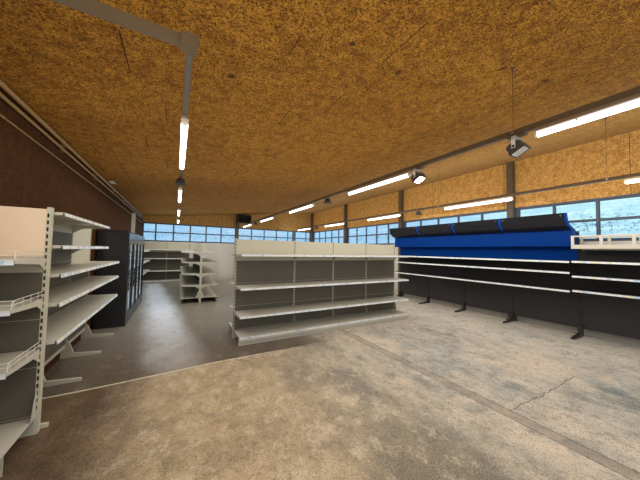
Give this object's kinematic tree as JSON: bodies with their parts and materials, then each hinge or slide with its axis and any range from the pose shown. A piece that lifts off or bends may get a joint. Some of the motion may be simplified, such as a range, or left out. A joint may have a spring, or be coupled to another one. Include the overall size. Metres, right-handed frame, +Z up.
{
  "type": "supermarket sales hall",
  "caption": "Sales hall of a drinks supermarket: single-pitch roof, chip-board ceiling, ribbon windows, light trunking, fixed shelving runs and a cooler with hinged glass doors; near end open.",
  "frame": {"origin": "centre of the overall box, on the underside of the floor slab", "axes": "+X from the low left wall to the high right wall, +Y from the open near end to the back wall, +Z up"},
  "size_m": [9.904, 15.65, 4.7783],
  "materials": {
    "concrete_floor": "worn smooth concrete, matt with a dull sheen",
    "outer_wall": "plain matt render",
    "window_frame": "dark grey satin paint",
    "window_glass": "clear glazing",
    "chip_board": "raw chip board, matt",
    "post_steel": "grey satin paint",
    "beam_wood": "planed timber, matt",
    "roof_sheet": "grey coated sheet",
    "edge_trim": "dark grey coated sheet",
    "gutter_metal": "weathered zinc grey",
    "trunk_metal": "grey satin paint",
    "lamp_tray": "cream white paint",
    "lamp_diffuser": "opal, lit",
    "hanger_wire": "bright wire",
    "black_plastic": "black, fine grain",
    "yoke_metal": "light grey satin paint",
    "flood_metal": "dark die-cast housing",
    "pipe_paint": "tan gloss paint",
    "heater_black": "black satin paint",
    "cream_frame": "cream powder coat",
    "cream_shelf": "cream powder coat",
    "cooler_black": "black satin paint",
    "shelf_grey": "light grey coated",
    "door_glass": "clear double glazing",
    "black_frame": "black powder coat",
    "black_shelf": "black powder coat",
    "sign_black": "gloss black",
    "sign_blue": "satin blue",
    "crown_cream": "cream powder coat"
  },
  "bodies": {
    "hall": {"floor_slab": "concrete_floor", "left_wall": "outer_wall", "back_wall": "outer_wall", "right_wall": "outer_wall", "window_frames": "window_frame", "window_glass": "window_glass", "wall_boards": "chip_board", "wall_posts": "post_steel", "ceiling_boards": "chip_board", "roof_beams": "beam_wood", "roof_deck": "roof_sheet", "roof_edge_trim": "edge_trim", "roof_gutter": "gutter_metal", "light_trunks": "trunk_metal", "trunk_fittings": "trunk_metal", "lamp_trays": "lamp_tray", "lamp_diffusers": "lamp_diffuser", "trunk_hangers": "hanger_wire", "loudspeakers": "black_plastic", "heating_pipes": "pipe_paint", "fan_heater": "heater_black", "left_shelving_frame": "cream_frame", "left_shelving_shelves": "cream_shelf", "cooler_cabinet": "cooler_black", "cooler_shelves": "shelf_grey", "aisle_gondola_frame": "cream_frame", "aisle_gondola_shelves": "cream_shelf", "cross_gondola_frame": "cream_frame", "cross_gondola_shelves": "cream_shelf", "wall_shelving_frame": "black_frame", "wall_shelving_shelves": "black_shelf", "sign_panels": "sign_black", "canopy_backing": "sign_blue", "shelf_crown": "crown_cream", "back_shelving_frame": "cream_frame", "back_shelving_shelves": "cream_shelf"},
    "door_1": {"cooler_door_1": "cooler_black", "cooler_glass_1": "door_glass"},
    "door_2": {"cooler_door_2": "cooler_black", "cooler_glass_2": "door_glass"},
    "door_3": {"cooler_door_3": "cooler_black", "cooler_glass_3": "door_glass"},
    "door_4": {"cooler_door_4": "cooler_black", "cooler_glass_4": "door_glass"},
    "yoke_1": {"flood_yoke_1": "yoke_metal"},
    "head_1": {"flood_head_1": "flood_metal"},
    "yoke_2": {"flood_yoke_2": "yoke_metal"},
    "head_2": {"flood_head_2": "flood_metal"}
  },
  "joints": [
    {"name": "cooler_door_1_hinge", "type": "hinge", "parent": "hall", "child": "door_1", "pos_m": [-4.017, 0.367, 1.209], "axis": [0, 0, 1], "range_deg": [0, 90]},
    {"name": "cooler_door_2_hinge", "type": "hinge", "parent": "hall", "child": "door_2", "pos_m": [-4.017, 1.108, 1.209], "axis": [0, 0, 1], "range_deg": [0, 90]},
    {"name": "cooler_door_3_hinge", "type": "hinge", "parent": "hall", "child": "door_3", "pos_m": [-4.017, 1.849, 1.209], "axis": [0, 0, 1], "range_deg": [0, 90]},
    {"name": "cooler_door_4_hinge", "type": "hinge", "parent": "hall", "child": "door_4", "pos_m": [-4.017, 2.59, 1.209], "axis": [0, 0, 1], "range_deg": [0, 90]},
    {"name": "flood_1_pan", "type": "hinge", "parent": "hall", "child": "yoke_1", "pos_m": [-0.065, -6.025, 3.113], "axis": [0, 0, 1], "range_deg": [-90, 90]},
    {"name": "flood_1_tilt", "type": "hinge", "parent": "yoke_1", "child": "head_1", "pos_m": [-0.065, -6.025, 3.0084], "axis": [1, 0, 0], "range_deg": [-40, 40]},
    {"name": "flood_2_pan", "type": "hinge", "parent": "hall", "child": "yoke_2", "pos_m": [-0.065, -4.788, 3.113], "axis": [0, 0, 1], "range_deg": [-90, 90]},
    {"name": "flood_2_tilt", "type": "hinge", "parent": "yoke_2", "child": "head_2", "pos_m": [-0.065, -4.788, 3.0084], "axis": [1, 0, 0], "range_deg": [-40, 40]}
  ]
}
